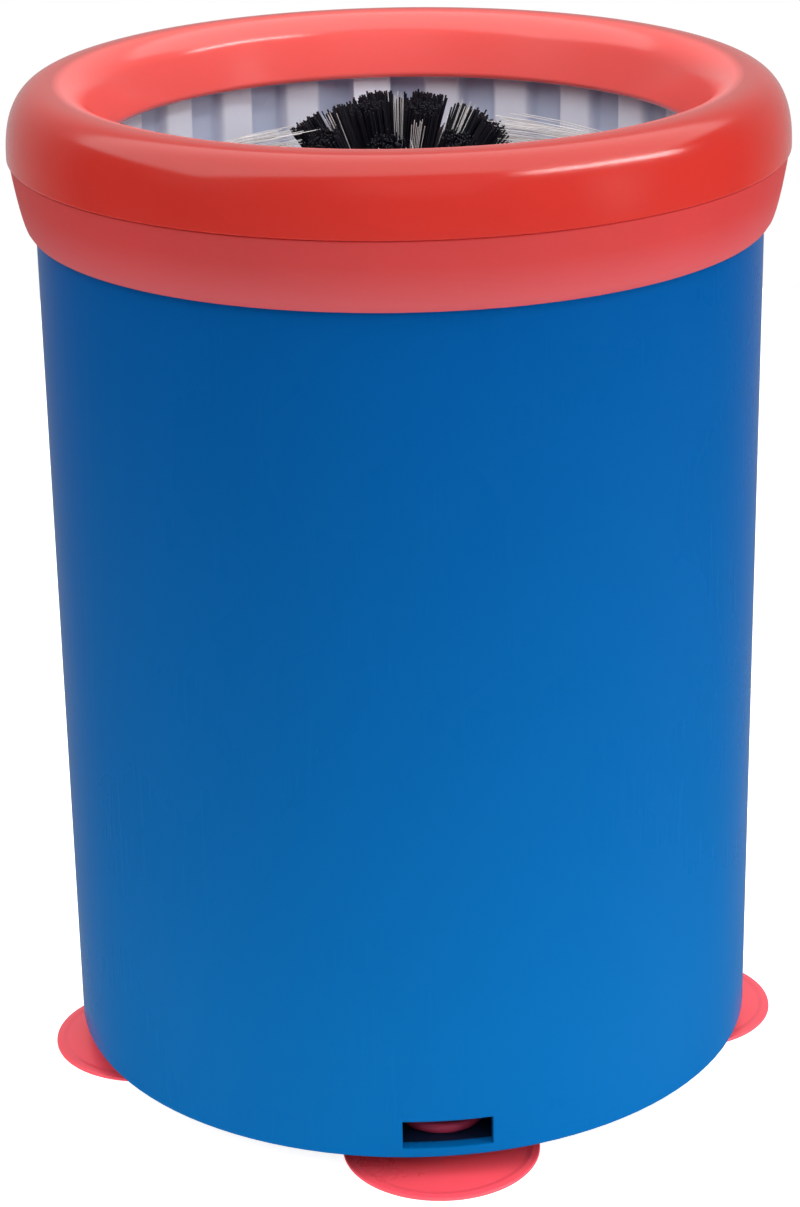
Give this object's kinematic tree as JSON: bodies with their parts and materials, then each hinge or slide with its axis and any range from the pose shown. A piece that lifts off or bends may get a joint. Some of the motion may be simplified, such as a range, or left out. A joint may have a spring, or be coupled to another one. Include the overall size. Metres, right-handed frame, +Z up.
{
  "type": "paw washer cup",
  "caption": "Upright blue cup on suction feet with a red collar, a fluted lift-out liner and a bristle crown for washing a dog's paw.",
  "frame": {"origin": "on the table, under the middle of the shell", "axes": "+Z up along the shell's axis, -Y towards the front suction cup, +X to the right of it"},
  "size_m": [0.1562, 0.1566, 0.2075],
  "materials": {
    "blue_shell": "smooth moulded plastic, satin gloss",
    "blue_base": "dark blue moulded plastic",
    "steel": "stainless",
    "red_cup": "soft glossy vinyl",
    "grey_liner": "translucent grey plastic",
    "black_rubber": "matt rubber",
    "red_collar": "satin moulded plastic",
    "red_ring": "soft gloss moulded plastic",
    "grey_rail": "translucent grey plastic",
    "clear_bristle": "clear nylon filaments",
    "black_bristle": "black nylon filaments",
    "dark_plastic": "moulded plastic",
    "grey_plastic": "moulded plastic"
  },
  "bodies": {
    "shell": {"outer_shell": "blue_shell", "base_plate": "blue_base", "base_screws": "steel"},
    "insert": {"inner_liner": "grey_liner", "liner_gasket": "black_rubber", "collar_ring": "red_collar", "brush_rail_front": "grey_rail", "brush_rail_right": "grey_rail", "brush_rail_rear": "grey_rail", "brush_rail_left": "grey_rail", "rail_bristles_front": "clear_bristle", "rail_bristles_right": "clear_bristle", "rail_bristles_rear": "clear_bristle", "rail_bristles_left": "clear_bristle", "brush_post": "grey_plastic", "post_seal": "black_rubber", "post_washer": "steel", "post_screw": "steel", "retaining_washer": "steel", "retaining_screw": "steel"},
    "splash_ring": {"splash_ring": "red_ring"},
    "brush": {"brush_sleeve": "dark_plastic", "brush_head": "dark_plastic", "crown_tufts_top": "black_bristle", "crown_tufts_upper": "black_bristle", "crown_tufts_side": "black_bristle", "crown_tufts_lower": "black_bristle", "crown_clear_tufts": "clear_bristle", "column_tufts": "black_bristle"},
    "foot_front": {"suction_cup_front": "red_cup"},
    "foot_right": {"suction_cup_right": "red_cup"},
    "foot_rear": {"suction_cup_rear": "red_cup"},
    "foot_left": {"suction_cup_left": "red_cup"}
  },
  "joints": [
    {"name": "insert_lift", "type": "slide", "parent": "shell", "child": "insert", "axis": [0, 0, 1], "range_m": [0, 0.165]},
    {"name": "splash_ring_lift", "type": "slide", "parent": "insert", "child": "splash_ring", "axis": [0, 0, 1], "range_m": [0, 0.04]},
    {"name": "brush_turn", "type": "hinge", "parent": "insert", "child": "brush", "pos_m": [0, 0, 0.1], "axis": [0, 0, 1], "continuous": true},
    {"name": "foot_front_press", "type": "slide", "parent": "shell", "child": "foot_front", "axis": [0, 0, 1], "range_m": [0, 0.002], "stiffness_N_per_m": 1500, "springref_m": -0.002},
    {"name": "foot_right_press", "type": "slide", "parent": "shell", "child": "foot_right", "axis": [0, 0, 1], "range_m": [0, 0.002], "stiffness_N_per_m": 1500, "springref_m": -0.002},
    {"name": "foot_rear_press", "type": "slide", "parent": "shell", "child": "foot_rear", "axis": [0, 0, 1], "range_m": [0, 0.002], "stiffness_N_per_m": 1500, "springref_m": -0.002},
    {"name": "foot_left_press", "type": "slide", "parent": "shell", "child": "foot_left", "axis": [0, 0, 1], "range_m": [0, 0.002], "stiffness_N_per_m": 1500, "springref_m": -0.002}
  ]
}
